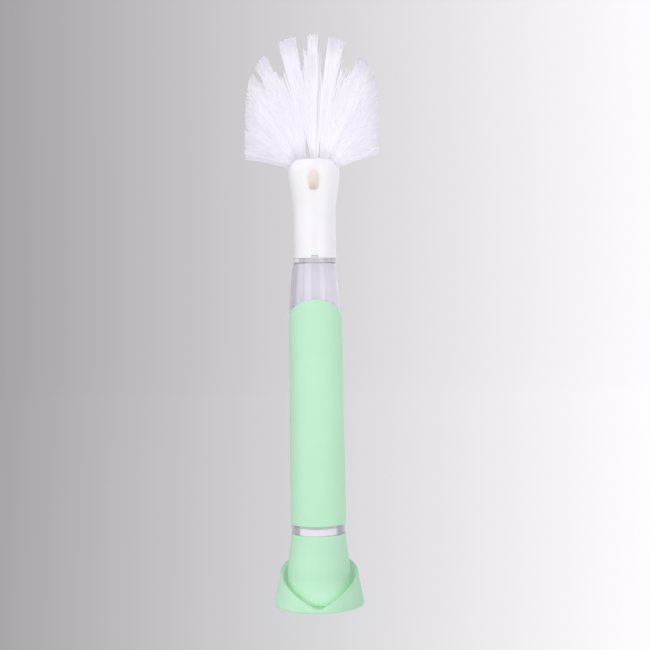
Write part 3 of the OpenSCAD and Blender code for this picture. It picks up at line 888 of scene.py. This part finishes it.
def add_tuft(strands, root_s, q_low, q_high, across, locks, turn, aside):
    """Adds one tuft. Its turn is in radians, and TUFT_ROWS explains the rest."""
    rng = strands.rng
    mid_q, reach = (q_low + q_high) / 2, (q_high - q_low) / 2
    bend = math.radians(TUFT_BEND * math.sin(math.pi * mid_q / OUTLINE_END))
    chord = trim_point(mid_q) - crown_point(root_s)
    lift_p = Vector((-chord.y, chord.x)) * math.tan(bend) / 4
    lean_q, lean_w = rng.gauss(0, TUFT_LEAN), rng.gauss(0, TUFT_LEAN)
    if aside:
        lean_w = 0
    # Painted shade: tufts turned away from the front are painted darker, as shade would make them;
    # the middle tuft counts as in front
    front = 0.5 - 0.5 * math.sin(turn) if root_s else 1
    tuft_shade = FRONT_SHADE * front - (SIDE_DIM if q_low >= SIDE_Q else 0)

    def near(value, spread):
        """A random place near value that stays in the tuft."""
        return max(-1, min(1, value + rng.gauss(0, spread)))

    for k in range(locks):
        size, a = math.sqrt((k + 0.5) / locks), math.radians(GOLDEN_ANGLE * k)
        lock = Vector((size * math.cos(a), size * math.sin(a)))
        lock_shade, lock_cut = rng.random(), rng.uniform(0, LOCK_CUT)
        for _ in range(LOCK_FILAMENTS):
            u, v = near(lock.x, LOCK_ROOT_SPREAD), near(lock.y, LOCK_ROOT_SPREAD)
            tip_u, tip_v = near(lock.x, LOCK_TIP_SPREAD), near(lock.y, LOCK_TIP_SPREAD)
            q = mid_q + tip_u * reach + lean_q
            root = placed(crown_point(root_s + u * TUFT_ROOT_R), turn, v * TUFT_ROOT_R)
            tip = placed(trim_point(abs(q) if root_s else q), turn, tip_v * across + lean_w)
            tip.x += aside
            # Most filaments end near the lock's cut, and a few well below it
            tip -= (tip - root).normalized() * (lock_cut + rng.random() ** 4 * FILAMENT_CUT)
            root -= (tip - root).normalized() * ROOT_DEPTH
            lift = placed(lift_p * rng.gauss(1, BEND_SPREAD), turn, rng.gauss(0, SWAY))
            shade = tuft_shade + LOCK_SHADE * lock_shade + OWN_SHADE * rng.random()
            strands.add(root, tip, lift, shade)


def filaments():
    """The bristles, drawn as thin filaments in locks that part at the tips."""
    strands = Strands(random.Random(7))
    for *shape, turns, aside in TUFT_ROWS:
        for turn in turns:
            add_tuft(strands, *shape, math.radians(turn), aside)
    for root_x, tip_x, below in STRAYS:
        root = Vector((root_x, STRAY_ROOT_Y, CROWN_TOP - ROOT_DEPTH))
        tip = Vector((tip_x, STRAY_TIP_Y, CROWN_TOP + FAN_H - below))
        strands.add(root, tip, Vector((math.copysign(STRAY_BEND, tip_x), 0, 0)), 1)
    piece = strands.piece("bristle_filaments")
    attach(piece, "head")
    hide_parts("bristle_crown")
    return piece


# Studio and camera: a pale sweep of paper, two tall soft boxes in front, and three soft fills

EYE, LENS, SENSOR_W, SHIFT_Y, ROLL = (0.0047, -0.672, 0.151), 77.5, 36, -0.054, -0.8
PAPER_HALF_W, PAPER_FRONT, PAPER_BACK, PAPER_TOP = 3.0, -3.0, 1.9, 3.0
SWEEP_R, SWEEP_STEPS = 0.6, 16
PAPER_LEFT, PAPER_RIGHT, PAPER_BASE = (0.35, 0.34, 0.353), (0.95, 0.935, 0.96), (0.04, 0.04, 0.04)
# The paper's shade spans the picture, whose half width is this share of the distance from the eye.
# Nearer than SHADE_NEAR it doesn't narrow any more
HALF_VIEW, SHADE_NEAR = 0.232, 0.55
SKY, SKY_STRENGTH = (0.93, 0.92, 1.0), 0.4
AIM = (0, 0, 0.14)
# Azimuth, distance, height, size and power of each light. Azimuth 0 is in front, 90 at the right.
LIGHTS = {
    "key_left": (-37, 1.0, 0.25, (0.6, 1.5), 5.2),
    "key_right": (37, 1.0, 0.25, (0.34, 1.5), 2.9),
    "fill_left": (-80, 1.0, 0.2, (0.6, 1.5), 3.1),
    "top_fill": (0, 1.0, 1.2, (0.9, 0.9), 1.6),
    "front_fill": (0, 1.3, 0.06, (1.2, 0.5), 2.6),
}
NOT_REFLECTED = "front_fill"


def paper_shade():
    """Painted light: the paper glows, by emission, evenly from grey at the left of the picture to
    white at the right: it follows the direction seen from EYE.
    """
    paint = Paint("paper", Roughness=0.9, Specular_IOR_Level=0.1)
    place = paint.node("ShaderNodeTexCoord")
    split = paint.node("ShaderNodeSeparateXYZ")
    away = paint.node("ShaderNodeMath", operation="SUBTRACT")
    away.inputs[1].default_value = EYE[1]
    far = paint.node("ShaderNodeMath", operation="MAXIMUM")
    far.inputs[1].default_value = SHADE_NEAR
    slope = paint.node("ShaderNodeMath", operation="DIVIDE")
    across = paint.node("ShaderNodeMapRange", in_From_Min=-HALF_VIEW, in_From_Max=HALF_VIEW)
    paint.link(place.outputs["Object"], split.inputs["Vector"])
    paint.link(split.outputs["Y"], away.inputs[0])
    paint.link(away.outputs["Value"], far.inputs[0])
    paint.link(split.outputs["X"], slope.inputs[0])
    paint.link(far.outputs["Value"], slope.inputs[1])
    paint.link(slope.outputs["Value"], across.inputs["Value"])
    shade = paint.ramp(across.outputs["Result"], PAPER_LEFT, PAPER_RIGHT)
    paint.link(shade, paint.shader.inputs["Emission Color"])
    paint.shader.inputs["Base Color"].default_value = (*PAPER_BASE, 1)
    paint.shader.inputs["Emission Strength"].default_value = 1.0
    return paint.material


def studio():
    """The paper: a floor that sweeps up behind the wand."""
    bend_y = PAPER_BACK - SWEEP_R
    line = [(PAPER_FRONT, 0.0), (bend_y, 0.0)]
    for i in range(1, SWEEP_STEPS + 1):
        a = math.pi / 2 * i / SWEEP_STEPS
        line.append((bend_y + SWEEP_R * math.sin(a), SWEEP_R - SWEEP_R * math.cos(a)))
    line.append((PAPER_BACK, PAPER_TOP))
    bm = bmesh.new()
    rows = [[bm.verts.new((x, y, z)) for x in (-PAPER_HALF_W, PAPER_HALF_W)] for y, z in line]
    for low, high in zip(rows, rows[1:]):
        bm.faces.new((low[0], low[1], high[1], high[0]))
    paper = finish_mesh("paper", bm)
    paper.data.materials.append(paper_shade())


def soft_box(name, azimuth, distance, height, size, power):
    """A light aimed at the wand."""
    data = bpy.data.lights.new(name, "AREA")
    data.shape = "RECTANGLE"
    data.size, data.size_y = size
    data.energy = power
    light = bpy.data.objects.new(name, data)
    bpy.context.scene.collection.objects.link(light)
    a = math.radians(azimuth)
    light.location = (distance * math.sin(a), -distance * math.cos(a), height)
    aim = Vector(AIM) - light.location
    light.rotation_euler = aim.to_track_quat("-Z", "Y").to_euler()
    light.visible_camera = False
    light.visible_glossy = name != NOT_REFLECTED


def world():
    made = bpy.data.worlds.new("studio")
    bpy.context.scene.world = made
    made.use_nodes = True
    sky = made.node_tree.nodes["Background"]
    sky.inputs["Color"].default_value = (*SKY, 1)
    sky.inputs["Strength"].default_value = SKY_STRENGTH


def camera():
    data = bpy.data.cameras.new("camera")
    data.sensor_width = SENSOR_W
    data.lens = LENS
    data.shift_y = SHIFT_Y
    eye = bpy.data.objects.new("camera", data)
    bpy.context.scene.collection.objects.link(eye)
    eye.location = EYE
    level = Matrix.Rotation(math.pi / 2, 4, "X")
    eye.rotation_euler = (level @ Matrix.Rotation(math.radians(ROLL), 4, "Z")).to_euler()
    bpy.context.scene.camera = eye


camera()
world()
studio()
for light_name, settings in LIGHTS.items():
    soft_box(light_name, *settings)

MINT, SILICONE, WHITE = mint_plastic(), mint_silicone(), white_plastic()
CLEAR, MATT, FILAMENT = clear_plastic(), matt_plastic(), filament()
RUBBER, VALVE, STEEL = grey_rubber(), valve_silicone(), steel()

for made, finishes in [
    (stand(), [MINT]), (cap(), [MINT]), (spring(), [STEEL]), (sleeve(), [SILICONE]),
    (tube(), [CLEAR, MATT]), (head(), [WHITE]), (filaments(), [FILAMENT])
]:
    for finish in finishes:
        made.data.materials.append(finish)
    # Light reaches what lies behind clear plastic and between the filaments
    made.visible_shadow = finishes[0] not in (CLEAR, FILAMENT)

for node, finish in {
    "stand_pad": RUBBER, "pump_barrel": WHITE, "button_ring": WHITE, "push_button": MINT,
    "piston_seal": RUBBER, "cap_seal": VALVE, "head_seal": VALVE, "soap_valve": VALVE,
    "valve_ring": WHITE, "tuft_anchors": STEEL,
}.items():
    piece = frame["nodes"][node]
    for slot in piece.material_slots:
        slot.material = finish

bpy.context.scene.view_settings.view_transform = "Standard"
